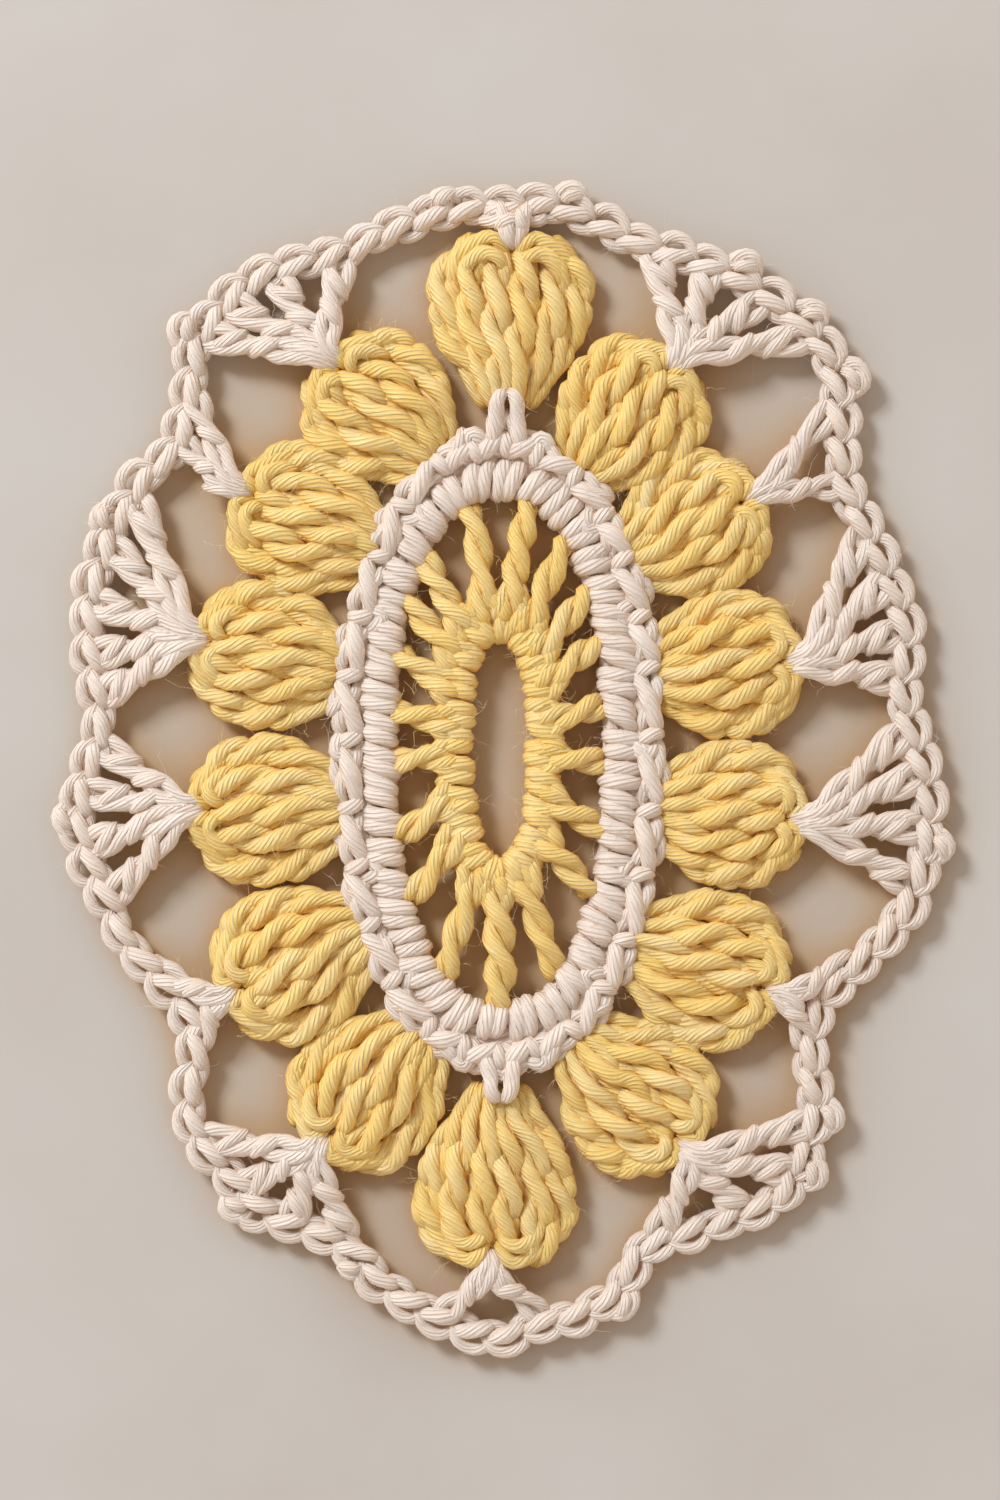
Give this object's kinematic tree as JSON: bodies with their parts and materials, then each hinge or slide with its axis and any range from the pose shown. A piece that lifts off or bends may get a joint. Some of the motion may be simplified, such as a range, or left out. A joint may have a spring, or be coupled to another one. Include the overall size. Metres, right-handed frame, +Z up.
{
  "type": "crocheted lace doily",
  "caption": "Oval crocheted lace doily lying flat: an open spoked eye, a cream round, plump yellow petals and a scalloped cream border. Sits under a vase, cup or ornament.",
  "frame": {"origin": "middle of the doily's footprint, on its underside", "axes": "+Y along the long axis towards the top petal, +X to the right seen from above, +Z up out of the worked face"},
  "size_m": [0.092, 0.1186, 0.0049],
  "materials": {
    "yellow_yarn": "plied mercerised cotton, soft sheen",
    "cream_yarn": "plied mercerised cotton, soft sheen"
  },
  "bodies": {
    "root": {"centre": "yellow_yarn", "inner_round": "cream_yarn", "border": "cream_yarn", "petal_top": "yellow_yarn", "petal_upper_right": "yellow_yarn", "petal_right_1": "yellow_yarn", "petal_right_2": "yellow_yarn", "petal_right_3": "yellow_yarn", "petal_lower_right_1": "yellow_yarn", "petal_lower_right_2": "yellow_yarn", "petal_bottom": "yellow_yarn", "petal_lower_left_2": "yellow_yarn", "petal_lower_left_1": "yellow_yarn", "petal_left_3": "yellow_yarn", "petal_left_2": "yellow_yarn", "petal_left_1": "yellow_yarn", "petal_upper_left": "yellow_yarn"}
  },
  "joints": []
}
